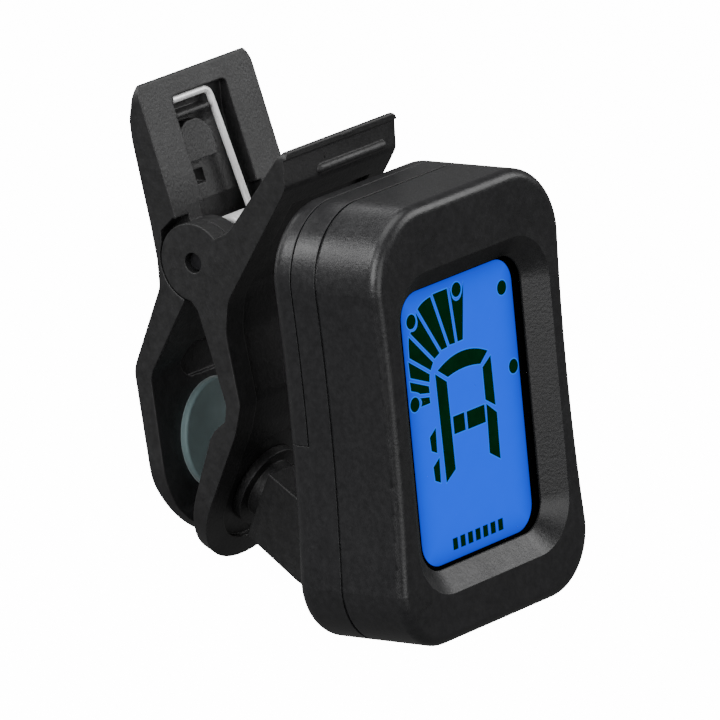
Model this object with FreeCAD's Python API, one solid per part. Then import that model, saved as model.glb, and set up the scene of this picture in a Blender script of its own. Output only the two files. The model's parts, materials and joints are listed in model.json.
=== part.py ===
"""Clip-on tuner: a display housing on a tilting and swivelling fork, held by a sprung clip.

Frame: X across the clip, -Y the way the display faces, +Z up.  The origin is midway between
the two jaw pads, where the instrument is gripped.  All sizes are in millimetres.
The shapes are drawn about the clip's pivot pin and moved to the origin when they are written.
"""
import FreeCAD, Part
import math
import os

V = FreeCAD.Vector

# ---- driving dimensions ------------------------------------------------------------------
CLAMP_Y = 4.4            # clamp centre, from the pivot pin
CLAMP_Z = -22.8
RUN = 0.06               # radial clearance of a running fit
GAP = 0.15               # clearance between parts that slide past each other

# clip
CLIP_HALF = 9.5          # half the width of both levers
EAR_R = 4.25             # round ears of the front lever
EAR_IN = 7.5             # inner face of an ear
CHEEK_R = 4.2            # round cheeks of the rear lever, inside the ears
CHEEK_IN = 5.3
PIN_R = 1.1
PIN_HALF = 8.8
WIRE_R = 0.4             # torsion spring wire
COIL_R = 3.1             # mean radius of the spring's coil
COIL_HALF = 3.3
HOOK_X = 1.8             # where the spring's rear leg bends into its hook
PAD_R = 6.1
PAD_T = 0.8
RIM = 2.9                # raised band around the front lever's recessed face
RIM_DEPTH = 0.6
GRIP = (-13.25, 9.70)    # grip bar across the front handle: (y, z) of its axis
GRIP_R = 0.6
GRIP_ENDS = (-3.4, 7.2)

FRONT_TOP = 12.95        # top of the front handle

# sloping paddle at the foot of the front lever: centre of its round end and its slope
PADDLE_Y = 0.9
PADDLE_Z = -26.7
PADDLE_SLOPE = math.radians(28.0)
FOOT_RISE = 0.45         # centre of the foot's outline, up the slope from the swivel axis

# rear lever
REAR_TOP = 19.45         # top of the rear handle
REAR_END_Z = -22.65      # centre of the round end of the rear jaw
WINDOW_HALF = 4.6        # window in the rear handle
WINDOW_TOP = 16.5
WINDOW_R = 0.7           # its upper corners
BOSS = (-1.9, 10.6)      # round boss on the window's back: (x, z)
BOSS_R = 2.9
SLOT_X = (-3.4, -1.0)    # slot through the window's back
SLOT_Z = (6.5, 8.0)
PIT_Z = -12.3            # shallow pit above the rear pad
PIT_R = 2.3              # radius of its round ends
PIT_X = 2.3              # where their centres are
PIT_Y = (5.9, 7.9)

# flat faces of the jaws that carry the pads: (y, z) of their upper and lower ends
FRONT_JAW_TOP = (0.06, -19.3)
FRONT_JAW_FOOT = (6.55, -34.6)
REAR_JAW_TOP = (7.40, -12.9)
REAR_JAW_FOOT = (6.60, -27.9)
FRONT_PAD_Z = -24.0
REAR_PAD_Z = -21.5

# swivel fork
FORK_HALF = 4.0
SLOT_HALF = 2.5          # half the gap between the fork's cheeks
TONGUE_HALF = 2.4
TILT_Y = -7.6            # tilt pin
TILT_Z = -32.3
TILT_R = 1.15
NECK_R = 3.3             # round neck that holds the fork off the paddle
NECK = 2.2
FORK_R = 4.1             # rounded nose of the fork, about the tilt pin
TONGUE_R = 3.4
STEM_R = 1.9             # stem that turns in the paddle
SCREW_SEAT_R = 2.6       # counterbore for washer and screw head, in the paddle
SCREW_SEAT = 1.3         # its floor, behind the paddle's outer face
WASHER_T = 0.3
HEAD_T = 0.7
HEAD_R = 1.6
SHANK_R = 0.7
FLANGE_T = 1.0

# display housing
HOUSE_W = 31.5
HOUSE_H = 46.9
HOUSE_D = 14.8
HOUSE_R = 8.0            # upper corners, seen from the front
HOUSE_FOOT_R = 6.8       # lower corners
HOUSE_Z = -15.5          # middle of its height
FRONT_Y = -29.6          # front face
WAIST = 0.45             # how far the long sides curve in
FLARE = 0.35             # and how far their lower ends spread
EDGE_R = 1.2             # rounded front edge
BACK_R = 2.2             # rounded back edge
WALL = 1.5
SEAM_SHELLS = 8.2        # depths behind the front face, from here on
SEAM_COVER = 11.5
FACE_T = 3.6
GLASS_DEPTH = 2.0        # front of the window lens
GLASS_T = 0.35
LCD_DEPTH = 2.4          # front of the display
LCD_T = 1.4
LENS_LAP = 0.7           # how far the lens reaches past the opening
LCD_LAP = 0.6            # and the display
LCD_R = 0.4
SHELL_GROOVE = 0.17      # rebate along each side of the seam between the shells
COVER_GROOVE = 0.09      # and of the battery cover's seam
GROOVE_T = 0.25          # depth of both
SLOPE_DEPTH = 1.8        # how deep the sloping frame around the window runs
RECESS_W = 26.0          # its outer outline, on the front face
RECESS_TOP = HOUSE_Z + 16.35
RECESS_FOOT = HOUSE_Z - 18.25
RECESS_R = 5.6
OPENING_W = 20.8         # window opening at the foot of the slope
OPENING_TOP = HOUSE_Z + 14.15
OPENING_FOOT = HOUSE_Z - 16.05
OPENING_R = 3.2
SCREEN_W = 18.9          # lit part of the display
SCREEN_TOP = HOUSE_Z + 13.85
SCREEN_FOOT = HOUSE_Z - 15.75
LCD_STEP = SCREEN_FOOT + 1.2         # where the display's rear pane ends
COVER_FOOT = HOUSE_Z - 1.45          # lower end of the battery cover
COVER_WALL = 1.2
COIN_R = 10.0
COIN_T = 3.2
COIN_Z = HOUSE_Z + 9.5
COIN_DEPTH = 10.3
POCKET_FLOOR = 10.0
DECK = 9.4               # inner face of the battery bay's floor
RAIL_IN = 11.6           # rails that the battery cover's lips run under
RAIL = (HOUSE_Z + 0.6, HOUSE_Z + 14.6)
LIGHT = (3.85, 5.3)      # the two faces of the backlight panel
BOARD = (7.2, 8.0)       # and of the main board
SCREW_X = 11.9
SCREW_TOP_Z = HOUSE_Z + 19.3
SCREW_FOOT_Z = HOUSE_Z - 19.2
SCREW_SHANK_R = 0.75
SCREW_HEAD_R = 1.5
SCREW_HEAD = (9.9, 10.9)

# power button, in the side of the front shell
BUTTON_Z = HOUSE_Z + 7.4
BUTTON_LEN = 7.0
BUTTON_W = 2.2
BUTTON_DEPTH = 6.2
BUTTON_IN = 13.6         # inner end of its cap, where its flange begins
BUTTON_FLANGE = 0.6      # thickness of that flange
BUTTON_TRAVEL = 0.3


# ---- helpers -----------------------------------------------------------------------------
def box(x, y, z):
    """A box from pairs of limits."""
    return Part.makeBox(x[1] - x[0], y[1] - y[0], z[1] - z[0], V(x[0], y[0], z[0]))


def rod(start, axis, radius, length):
    return Part.makeCylinder(radius, length, start, axis)


def rod_x(y, z, radius, x0, x1):
    """A cylinder along X."""
    return rod(V(x0, y, z), V(1, 0, 0), radius, x1 - x0)


def both(shape):
    """A shape and its mirror image across the middle plane."""
    return shape.fuse(shape.mirror(V(0, 0, 0), V(1, 0, 0)))


def outline(corners):
    """A closed wire in the YZ plane: each corner is (y, z, radius), rounded by a tangent arc."""
    points = [V(0, y, z) for y, z, _ in corners]
    edges = []
    ends = []
    for i, (_, _, radius) in enumerate(corners):
        here, before, after = points[i], points[i - 1], points[(i + 1) % len(points)]
        if radius == 0:
            ends.append((here, here))
            continue
        to_before = (before - here).normalize()
        to_after = (after - here).normalize()
        half = to_before.getAngle(to_after) / 2
        back = radius / math.tan(half)
        start = here + to_before * back
        stop = here + to_after * back
        middle_way = (to_before + to_after).normalize()
        middle = here + middle_way * (radius / math.sin(half) - radius)
        ends.append((start, stop))
        edges.append(Part.Arc(start, middle, stop).toShape())
    for i, (start, _) in enumerate(ends):
        previous_stop = ends[i - 1][1]
        if previous_stop.distanceToPoint(start) > 1e-6:
            edges.append(Part.makeLine(previous_stop, start))
    return Part.Wire(Part.__sortEdges__(edges))


def prism(corners, x0, x1):
    """A side outline made solid between two values of X."""
    face = Part.Face(outline(corners))
    face.translate(V(x0, 0, 0))
    return face.extrude(V(x1 - x0, 0, 0))


def front_outline(half_w, z0, z1, radius, y, waist=0.0, foot_radius=None, flare=0.0):
    """A rounded rectangle seen from the front.

    Its long sides curve in by waist at mid height and spread by flare at their lower ends.
    """
    foot_radius = foot_radius or radius
    foot_half = half_w + flare
    mid = (z0 + z1) / 2

    def p(x, z):
        return V(x, y, z)

    def side(sign):
        top = p(sign * half_w, z1 - radius)
        foot = p(sign * foot_half, z0 + foot_radius)
        if waist == 0:
            return Part.makeLine(top, foot)
        return Part.Arc(top, p(sign * (half_w - waist), mid), foot).toShape()

    def corner(x_sign, half, z_end, z_sign, r):
        x = x_sign * half
        k = r * (1 - math.sqrt(0.5))
        return Part.Arc(p(x, z_end - z_sign * r), p(x - x_sign * k, z_end - z_sign * k),
                        p(x - x_sign * r, z_end)).toShape()

    return Part.Wire([
        side(1),
        corner(1, half_w, z1, 1, radius),
        Part.makeLine(p(half_w - radius, z1), p(radius - half_w, z1)),
        corner(-1, half_w, z1, 1, radius),
        side(-1),
        corner(-1, foot_half, z0, -1, foot_radius),
        Part.makeLine(p(foot_radius - foot_half, z0), p(foot_half - foot_radius, z0)),
        corner(1, foot_half, z0, -1, foot_radius),
    ])


def slab(half_w, z0, z1, radius, depth0, depth1, waist=0.0, foot_radius=None, flare=0.0):
    """A rounded plate between two depths behind the housing's front face."""
    face = Part.Face(front_outline(half_w, z0, z1, radius, depth(depth0), waist, foot_radius,
                                   flare))
    return face.extrude(V(0, depth1 - depth0, 0))


def housing_slab(depth0, depth1, inset=0.0):
    """The housing's own outline, pulled in by inset."""
    half_h = HOUSE_H / 2 - inset
    return slab(HOUSE_W / 2 - inset, HOUSE_Z - half_h, HOUSE_Z + half_h, HOUSE_R - inset,
                depth0, depth1, WAIST, HOUSE_FOOT_R - inset, FLARE)


def seam_groove(at, reach):
    """A shallow ring cut into the housing's sides, as far as reach on both sides of a seam."""
    ring = housing_slab(at - reach, at + reach)
    return ring.cut(housing_slab(at - 2 * reach, at + 2 * reach, GROOVE_T))


def depth(value):
    """The Y of a plane this far behind the housing's front face."""
    return FRONT_Y + value


def edges_on_plane(shape, y):
    """The edges that lie in one plane of constant Y."""
    return [e for e in shape.Edges
            if abs(e.BoundBox.YMin - y) < 1e-4 and abs(e.BoundBox.YMax - y) < 1e-4]


# The paddle's own directions: outwards along the swivel axis, and down along its face.
OUT = V(0, -math.cos(PADDLE_SLOPE), -math.sin(PADDLE_SLOPE))
DOWN = V(0, math.sin(PADDLE_SLOPE), -math.cos(PADDLE_SLOPE))


def on_paddle(out, down, x=0.0):
    """A point from the centre of the paddle's outer face."""
    return V(x, PADDLE_Y, PADDLE_Z) + OUT * out + DOWN * down


def rounded_foot(centre, axis, down, reach):
    """Everything below a round end's centre that lies outside its circle."""
    side = axis.cross(down)
    block = Part.makeBox(4 * CLIP_HALF, 2 * reach, 2 * CLIP_HALF)
    placement = FreeCAD.Placement(centre - side * 2 * CLIP_HALF - axis * reach,
                                  FreeCAD.Rotation(side, axis, down, "ZXY"))
    block.Placement = placement
    return block.cut(rod(centre - axis * reach, axis, CLIP_HALF, 2 * reach))


def rounded_corner(top, radius):
    """What is cut away to round one top corner of a handle, seen from the front."""
    x, z = CLIP_HALF - radius, top - radius
    corner = box((x, CLIP_HALF + 1), (-20, 20), (z, top + 1))
    return corner.cut(rod(V(x, -20, z), V(0, 1, 0), radius, 40))


# ---- clip --------------------------------------------------------------------------------
# Side outlines of the two levers: (y, z, corner radius), in order round the outline.
FRONT_SIDE = [
    (-13.95, FRONT_TOP, 0.25), (-13.30, FRONT_TOP - 0.15, 0.15), (-5.30, 3.75, 2.2),
    (-1.50, 2.00, 0), (1.30, -3.60, 0), (0.05, -5.10, 1.0), (-0.85, -8.30, 5.0),
    (-2.62, -15.30, 1.4), (-2.25, -17.10, 0.6), (-0.65, -18.30, 0.5), FRONT_JAW_TOP + (0.6,),
    FRONT_JAW_FOOT + (0,), (5.45, -35.3, 0), (-3.45, -18.50, 3.0), (-4.50, -15.30, 2.2),
    (-3.50, -7.60, 6.0), (-4.20, -3.90, 4.0), (-12.35, 7.30, 3.0), (-13.42, 8.90, 1.5),
    (-13.55, 11.95, 0), (-13.85, 12.05, 0),
]

REAR_SIDE = [
    (5.70, REAR_TOP, 0.25), (6.78, 15.00, 3.0), (6.70, 12.80, 6.0), (5.30, 3.70, 8.0),
    (4.88, 0.00, 4.0), (4.92, -3.00, 2.4), (9.55, -12.30, 3.4), (8.65, -24.80, 8.0),
    (7.25, -30.40, 3.0), (6.60, -32.75, 0.2), (6.05, -32.70, 0.2), (5.45, -31.00, 0.8),
    REAR_JAW_FOOT + (1.5,), REAR_JAW_TOP + (2.8,), (1.75, -4.35, 0.3), (0.60, 0.00, 0),
    (1.95, 5.60, 0.3),
]


def front_lever():
    body = prism(FRONT_SIDE, -CLIP_HALF, CLIP_HALF)
    body = body.fuse(rod_x(0, 0, EAR_R, -CLIP_HALF, CLIP_HALF))
    # room for the rear lever's cheeks and the spring
    body = body.cut(rod_x(0, 0, CHEEK_R + 0.3, -EAR_IN, EAR_IN))
    body = body.cut(prism([(0, 5, 0), (0, -3.2, 0), (1.4, -4.7, 0), (6, -4.7, 0), (6, 5, 0)],
                          -EAR_IN, EAR_IN))
    # hollow in the back of the handle, where the spring's front leg rests
    body = body.cut(prism([(-11.4, 9.8, 0.4), (-11.0, 8.4, 0.4), (-4.0, -1.0, 0), (2.0, 1.0, 0),
                           (-3.0, 5.5, 0)], -CHEEK_IN, CHEEK_IN))
    # round foot, a little higher than the swivel axis
    body = body.cut(rounded_foot(on_paddle(0, 0) - DOWN * FOOT_RISE, OUT, DOWN, 12))
    # recessed face inside the raised band
    half = CLIP_HALF - RIM
    trough = prism([(-20, 6.6, 0), (-11.0, 6.6, 0.5), (-4.2 + RIM_DEPTH, -3.6, 4.0),
                    (-3.5 + RIM_DEPTH, -7.6, 6.0), (-4.5 + RIM_DEPTH, -15.3, 2.2),
                    (-3.38 + RIM_DEPTH, -18.7, 3.0),
                    tuple(on_paddle(-RIM_DEPTH, 0))[1:] + (0,), (-20, PADDLE_Z, 0)], -half, half)
    trough = trough.fuse(rod(on_paddle(-RIM_DEPTH, 0), OUT, half, 6))
    body = body.cut(trough)
    # holes for the pivot pin and the swivel stem
    body = body.cut(rod_x(0, 0, PIN_R, -CLIP_HALF - 1, CLIP_HALF + 1))
    body = body.cut(rod(on_paddle(-6, 0), OUT, STEM_R + RUN, 12))
    body = body.cut(rod(on_paddle(-6, 0), OUT, SCREW_SEAT_R, 6 - SCREW_SEAT))
    body = body.cut(both(rounded_corner(FRONT_TOP, 1.1)))
    # raised grip bar with round ends
    grip = rod_x(*GRIP, GRIP_R, *GRIP_ENDS)
    ends = [Part.makeSphere(GRIP_R, V(x, *GRIP)) for x in GRIP_ENDS]
    return body.fuse([grip] + ends).removeSplitter()


def rear_lever():
    body = prism(REAR_SIDE, -CLIP_HALF, CLIP_HALF)
    # the cheeks fit inside the front lever's ears
    ear_room = rod_x(0, 0, EAR_R + 0.2, EAR_IN - GAP, CLIP_HALF + 1)
    body = body.cut(both(ear_room))
    cheeks = both(rod_x(0, 0, CHEEK_R, CHEEK_IN, EAR_IN - GAP))
    body = body.fuse(cheeks)
    body = body.cut(prism([(-6, 7.5, 0), (3.9, 4.9, 0), (4.15, 0, 0), (3.6, -2.9, 0),
                           (-6, -4.6, 0)], -CHEEK_IN, CHEEK_IN))
    body = body.cut(both(prism([(-6, 4.7, 0), (2.2, 4.7, 0), (4.0, 3.2, 0), (4.2, -1, 0),
                                (1.6, -3.95, 0), (-6, -3.95, 0)], EAR_IN - GAP, CLIP_HALF + 1)))
    # round foot
    foot = V(0, 7, REAR_END_Z)
    body = body.cut(rounded_foot(foot, V(0, -1, 0), V(0, 0, -1), 12))
    # window in the handle, open at its lower end, with a thin back
    window = prism([(-2, WINDOW_TOP, 0), (5.75, WINDOW_TOP, 0.4), (5.75, 12.8, 4.0), (3.9, 4.9, 0),
                    (-2, 4.9, 0)], -WINDOW_HALF, WINDOW_HALF)
    rounded = Part.Face(front_outline(WINDOW_HALF, 0, WINDOW_TOP, WINDOW_R, -4))
    body = body.cut(window.common(rounded.extrude(V(0, 12, 0))))
    # bar and round boss moulded on the window's back, and a slot through it
    bar = prism([(4.3, 14.7, 0.15), (4.15, 14.2, 0.15), (6.3, 14.2, 0), (6.3, 14.7, 0)],
                -WINDOW_HALF, 0.7)
    boss = prism([(4.75, 13.4, 0), (3.75, 9.2, 0), (6.2, 9.2, 0), (6.2, 13.4, 0)],
                 -WINDOW_HALF, 0.9)
    boss = boss.common(rod(V(BOSS[0], 2, BOSS[1]), V(0, 1, 0), BOSS_R, 6))
    body = body.fuse([bar, boss])
    body = body.cut(box(SLOT_X, (2, 9), SLOT_Z))
    body = body.cut(both(rounded_corner(REAR_TOP, 2.6)))
    # shallow pit with round ends, above the pad
    pit = box((-PIT_X, PIT_X), PIT_Y, (PIT_Z - PIT_R, PIT_Z + PIT_R))
    ends = [rod(V(x, PIT_Y[0], PIT_Z), V(0, 1, 0), PIT_R, PIT_Y[1] - PIT_Y[0])
            for x in (-PIT_X, PIT_X)]
    body = body.cut(pit.fuse(ends))
    body = body.cut(rod_x(0, 0, PIN_R + RUN, -EAR_IN, EAR_IN))
    return body.removeSplitter()


def pivot_pin():
    pin = rod_x(0, 0, PIN_R, -PIN_HALF, PIN_HALF)
    return pin.makeChamfer(0.2, [e for e in pin.Edges if abs(abs(e.CenterOfMass.x) - PIN_HALF) < 1e-4])


def torsion_spring():
    coil = rod_x(0, 0, COIL_R + WIRE_R, -COIL_HALF, COIL_HALF)
    coil = coil.cut(rod_x(0, 0, COIL_R - WIRE_R, -COIL_HALF - 1, COIL_HALF + 1))
    x = COIL_HALF - WIRE_R
    top = V(HOOK_X, 5.15, WINDOW_TOP - WIRE_R - 0.1)
    foot = V(x, 1.72, 2.6)
    rear_leg = rod(foot, top - foot, WIRE_R, (top - foot).Length)
    hook = rod_x(top.y, top.z, WIRE_R, -4.0, HOOK_X + WIRE_R)
    front_end = V(-x, -9.9, 8.0)
    front_foot = V(-x, -2.3, 2.0)
    front_leg = rod(front_foot, front_end - front_foot, WIRE_R, (front_end - front_foot).Length)
    return coil.fuse([rear_leg, hook, front_leg]).removeSplitter()


def pad(face_centre, back):
    """A round rubber pad whose face centre and backward direction are given."""
    disc = rod(face_centre, back, PAD_R, PAD_T)
    rim = [e for e in disc.Edges if len(e.Vertexes) == 1
           and e.CenterOfMass.distanceToPoint(face_centre) < 1e-4]
    return disc.makeFillet(0.25, rim)


def jaw_line(top, foot, z):
    """The Y of a straight jaw face at this height, and its direction down the face."""
    slope = (foot[0] - top[0]) / (foot[1] - top[1])
    down = V(0, foot[0] - top[0], foot[1] - top[1]).normalize()
    return top[0] + slope * (z - top[1]), down


def front_pad():
    y, down = jaw_line(FRONT_JAW_TOP, FRONT_JAW_FOOT, FRONT_PAD_Z)
    back = V(0, down.z, -down.y)
    body = pad(V(0, y, FRONT_PAD_Z) - back * PAD_T, back)
    # room for the head of the swivel screw
    return body.cut(rod(on_paddle(-6, 0), OUT, 3.6, 6 - 1.9))


def rear_pad():
    y, down = jaw_line(REAR_JAW_TOP, REAR_JAW_FOOT, REAR_PAD_Z)
    back = V(0, -down.z, down.y)
    return pad(V(0, y, REAR_PAD_Z) - back * PAD_T, back)


# ---- swivel and tilt ---------------------------------------------------------------------
def tongue_sweep(reach, half):
    """The space that the housing's tongue passes through as it tilts down."""
    r = TONGUE_R + 0.2
    far = 30
    corners = [(TILT_Y, TILT_Z + r, 0), (TILT_Y - reach, TILT_Z + r, 0),
               (TILT_Y - reach, TILT_Z - far, 0), (TILT_Y + r, TILT_Z - far, 0),
               (TILT_Y + r, TILT_Z, 0)]
    return prism(corners, -half, half).fuse(rod_x(TILT_Y, TILT_Z, r, -half, half))


def swivel_fork():
    flange = rod(on_paddle(-RIM_DEPTH + RUN, 0), OUT, FORK_HALF + 0.6, FLANGE_T)
    stem = rod(on_paddle(-SCREW_SEAT - RUN, 0), OUT, STEM_R, SCREW_SEAT + RUN)
    nose = V(0, TILT_Y, TILT_Z)
    neck = rod(on_paddle(0, 0), OUT, NECK_R, NECK + 1)
    base_top = on_paddle(NECK, -FORK_HALF)
    base_foot = on_paddle(NECK, FORK_HALF)

    def tangent(point, sign):
        """Where a line from a point touches the nose's circle."""
        to = nose - point
        turn = math.asin(FORK_R / to.Length)
        run = math.sqrt(to.Length ** 2 - FORK_R ** 2)
        angle = math.atan2(to.z, to.y) + sign * turn
        return V(0, point.y + run * math.cos(angle), point.z + run * math.sin(angle))

    upper = tangent(base_top, -1)
    lower = tangent(base_foot, 1)
    arm = prism([(p.y, p.z, 0) for p in (base_top, upper, nose, lower, base_foot)],
                -FORK_HALF, FORK_HALF)
    arm = arm.fuse(rod_x(TILT_Y, TILT_Z, FORK_R, -FORK_HALF, FORK_HALF))
    arm = arm.common(rod(on_paddle(NECK, 0), OUT, 40, 60))
    body = arm.fuse([flange, stem, neck])
    body = body.cut(tongue_sweep(30, SLOT_HALF))
    body = body.cut(rod_x(TILT_Y, TILT_Z, TILT_R, -FORK_HALF - 1, FORK_HALF + 1))
    return body.cut(rod(on_paddle(-SCREW_SEAT - 1, 0), OUT, SHANK_R, 5.0)).removeSplitter()


def swivel_washer():
    ring = rod(on_paddle(-SCREW_SEAT - RUN - WASHER_T, 0), OUT, SCREW_SEAT_R - 0.2, WASHER_T)
    return ring.cut(rod(on_paddle(-SCREW_SEAT - 2, 0), OUT, SHANK_R, 6))


def swivel_screw():
    seat = -SCREW_SEAT - RUN - WASHER_T
    head = rod(on_paddle(seat - HEAD_T, 0), OUT, HEAD_R, HEAD_T)
    shank = rod(on_paddle(seat, 0), OUT, SHANK_R, 3.8)
    cross = both(box((-1.0, 1.0), (-0.15, 0.15), (0, 0.35)))
    turned = cross.fuse(cross.rotated(V(0, 0, 0), V(0, 0, 1), 90))
    turned.Placement = FreeCAD.Placement(on_paddle(seat - HEAD_T - 0.01, 0),
                                         FreeCAD.Rotation(V(0, 0, 1), OUT))
    return head.fuse(shank).cut(turned).removeSplitter()


def tilt_pin():
    pin = rod_x(TILT_Y, TILT_Z, TILT_R, -FORK_HALF + 0.35, FORK_HALF - 0.35)
    ends = [e for e in pin.Edges if abs(abs(e.CenterOfMass.x) - FORK_HALF + 0.35) < 1e-4]
    return pin.makeChamfer(0.2, ends)


# ---- housing -----------------------------------------------------------------------------
def screw_places():
    return [(x, z) for x in (-SCREW_X, SCREW_X) for z in (SCREW_TOP_Z, SCREW_FOOT_Z)]


def post(x, z, radius, depth0, depth1):
    """A cylinder along Y between two depths."""
    return rod(V(x, depth(depth0), z), V(0, 1, 0), radius, depth1 - depth0)


def around_opening(lap, radius, depth0, depth1):
    """A rounded plate that reaches past the window opening by lap all round."""
    return slab(OPENING_W / 2 + lap, OPENING_FOOT - lap, OPENING_TOP + lap, radius,
                depth0, depth1)


def front_shell():
    body = housing_slab(0, SEAM_SHELLS)
    body = body.makeFillet(EDGE_R, edges_on_plane(body, FRONT_Y))
    body = body.cut(housing_slab(FACE_T, SEAM_SHELLS + 1, WALL))
    body = body.cut(seam_groove(SEAM_SHELLS, SHELL_GROOVE))
    bosses = [post(x, z, 2.0, FACE_T, SEAM_SHELLS) for x, z in screw_places()]
    body = body.fuse(bosses)
    for x, z in screw_places():
        body = body.cut(post(x, z, SCREW_SHANK_R, SEAM_SHELLS - 3.2, SEAM_SHELLS + 1))
    # sloping frame, window opening, and seats for the lens and the display behind it
    wide = front_outline(RECESS_W / 2, RECESS_FOOT, RECESS_TOP, RECESS_R, FRONT_Y)
    narrow = front_outline(OPENING_W / 2, OPENING_FOOT, OPENING_TOP, OPENING_R,
                           depth(SLOPE_DEPTH))
    body = body.cut(Part.makeLoft([wide, narrow], True, True))
    body = body.cut(around_opening(0, OPENING_R, SLOPE_DEPTH - 0.1, FACE_T + 1))
    body = body.cut(around_opening(LENS_LAP + 0.1, OPENING_R, GLASS_DEPTH, FACE_T + 1))
    body = body.cut(around_opening(LENS_LAP + 0.1, LCD_R + 0.2, LCD_DEPTH - 0.05, FACE_T + 1))
    half = BUTTON_LEN / 2 + 0.1
    y = depth(BUTTON_DEPTH)
    body = body.cut(box((HOUSE_W / 2 - 3, HOUSE_W / 2 + 2),
                        (y - BUTTON_W / 2 - 0.1, y + BUTTON_W / 2 + 0.1),
                        (BUTTON_Z - half, BUTTON_Z + half)))
    return body.removeSplitter()


def back_shell():
    rear = HOUSE_D
    body = housing_slab(SEAM_SHELLS, rear)
    body = body.makeFillet(BACK_R, edges_on_plane(body, depth(rear)))
    body = body.cut(housing_slab(SEAM_SHELLS - 1, DECK, WALL))
    low = HOUSE_Z - HOUSE_H / 2
    below = box((-40, 40), (depth(0), depth(rear - WALL)), (low - 1, COVER_FOOT - WALL))
    body = body.cut(housing_slab(SEAM_SHELLS - 1, rear - WALL, WALL).common(below))
    body = body.cut(seam_groove(SEAM_SHELLS, SHELL_GROOVE))
    upper = box((-40, 40), (depth(0), depth(rear) + 1), (COVER_FOOT, 40))
    body = body.cut(seam_groove(SEAM_COVER, COVER_GROOVE).common(upper))
    # everything the battery cover takes up
    body = body.cut(box((-40, 40), (depth(SEAM_COVER), depth(rear) + 1), (COVER_FOOT, 40)))
    # coin pocket, and rails that the cover's lips run under
    body = body.cut(post(0, COIN_Z, COIN_R + 0.2, POCKET_FLOOR, SEAM_COVER + 1))
    rail = box((RAIL_IN, RAIL_IN + 0.7), (depth(SEAM_COVER), depth(13.0)), RAIL)
    over = box((RAIL_IN, RAIL_IN + 1.5), (depth(12.35), depth(13.0)), RAIL)
    body = body.fuse([both(rail.fuse(over))])
    # tongue that reaches back to the tilt pin
    tongue = rod_x(TILT_Y, TILT_Z, TONGUE_R, -TONGUE_HALF, TONGUE_HALF)
    root = depth(rear - 0.6)
    tongue = tongue.fuse(prism([(TILT_Y, TILT_Z + TONGUE_R, 0), (root, TILT_Z + TONGUE_R + 0.5, 0),
                                (root, TILT_Z - TONGUE_R - 0.5, 0), (TILT_Y, TILT_Z - TONGUE_R, 0)],
                               -TONGUE_HALF, TONGUE_HALF))
    tongue = tongue.cut(rod_x(TILT_Y, TILT_Z, TILT_R + RUN, -10, 10))
    body = body.fuse(tongue)
    for x, z in screw_places():
        if z < COVER_FOOT:
            body = body.fuse(post(x, z, 2.3, SEAM_SHELLS, rear - 1.0))
        body = body.cut(post(x, z, SCREW_HEAD_R + 0.2, SCREW_HEAD[0], rear + 1))
        body = body.cut(post(x, z, SCREW_SHANK_R + 0.1, SEAM_SHELLS - 1, rear))
    return body.removeSplitter()


def battery_cover():
    rear = HOUSE_D
    body = housing_slab(SEAM_COVER + 0.05, rear)
    body = body.makeFillet(BACK_R, edges_on_plane(body, depth(rear)))
    body = body.cut(seam_groove(SEAM_COVER, COVER_GROOVE))
    body = body.cut(housing_slab(SEAM_COVER - 1, rear - COVER_WALL, WALL))
    body = body.common(box((-40, 40), (depth(0), depth(rear) + 1), (COVER_FOOT + 0.08, 40)))
    lip = box((RAIL_IN + 1.0, HOUSE_W / 2 - 1.2), (depth(SEAM_COVER + 0.1), depth(12.2)),
              (RAIL[0] + 0.5, RAIL[1] - 0.5))
    body = body.fuse(both(lip))
    grooves = [box((-5, 5), (depth(rear) - 0.3, depth(rear) + 1), (z, z + 0.5))
               for z in (COVER_FOOT + 2.8, COVER_FOOT + 3.9, COVER_FOOT + 5.0)]
    return body.cut(Part.makeCompound(grooves)).removeSplitter()


def window_lens():
    return around_opening(LENS_LAP, OPENING_R, GLASS_DEPTH, GLASS_DEPTH + GLASS_T)


def lcd_glass():
    """Two panes; the rear one stops short of the front one's row of contacts."""
    middle = LCD_DEPTH + LCD_T / 2
    front = around_opening(LCD_LAP, LCD_R, LCD_DEPTH, middle)
    back = slab(OPENING_W / 2 + LCD_LAP, LCD_STEP, OPENING_TOP + LCD_LAP, LCD_R,
                middle, LCD_DEPTH + LCD_T)
    return front.fuse(back).removeSplitter()


def backlight_panel():
    return slab(SCREEN_W / 2 + 0.6, LCD_STEP + 0.3, SCREEN_TOP + 0.5, 0.6, *LIGHT)


def backlight_leds():
    z = SCREEN_TOP + 0.55
    return Part.makeCompound([box((x - 1.5, x + 1.5), (depth(LIGHT[0]), depth(LIGHT[1])),
                                  (z, z + 1.0)) for x in (-4.5, 4.5)])


def zebra_strip():
    z = SCREEN_FOOT
    return box((-8.5, 8.5), (depth(LCD_DEPTH + LCD_T / 2), depth(BOARD[0])), (z - 0.7, z + 1.0))


def main_board():
    top = SCREEN_TOP + 3.2
    foot = SCREEN_FOOT - 3.4
    body = slab(9.6, foot, top, 1.0, *BOARD)
    arm = box((9.0, BUTTON_IN - BUTTON_TRAVEL - 0.1), (depth(BOARD[0]), depth(BOARD[1])),
              (BUTTON_Z - 4.5, BUTTON_Z + 4.5))
    holes = [post(x, z, 0.5, 0, 12) for x in (-8.0, 8.0) for z in (top - 1.5, foot + 1.5)]
    return body.fuse(arm).cut(Part.makeCompound(holes)).removeSplitter()


def on_board(x, z, w, h, t):
    """A block on the back of the board."""
    return box((x - w / 2, x + w / 2), (depth(BOARD[1]), depth(BOARD[1] + t)),
               (z - h / 2, z + h / 2))


def controller_chip():
    body = on_board(0, HOUSE_Z - 3.2, 7.0, 7.0, 1.0)
    legs = [on_board(x * 3.9, HOUSE_Z - 6.2 + 0.75 * i, 0.8, 0.35, 0.3)
            for i in range(9) for x in (-1, 1)]
    return body.fuse(legs).removeSplitter()


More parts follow.
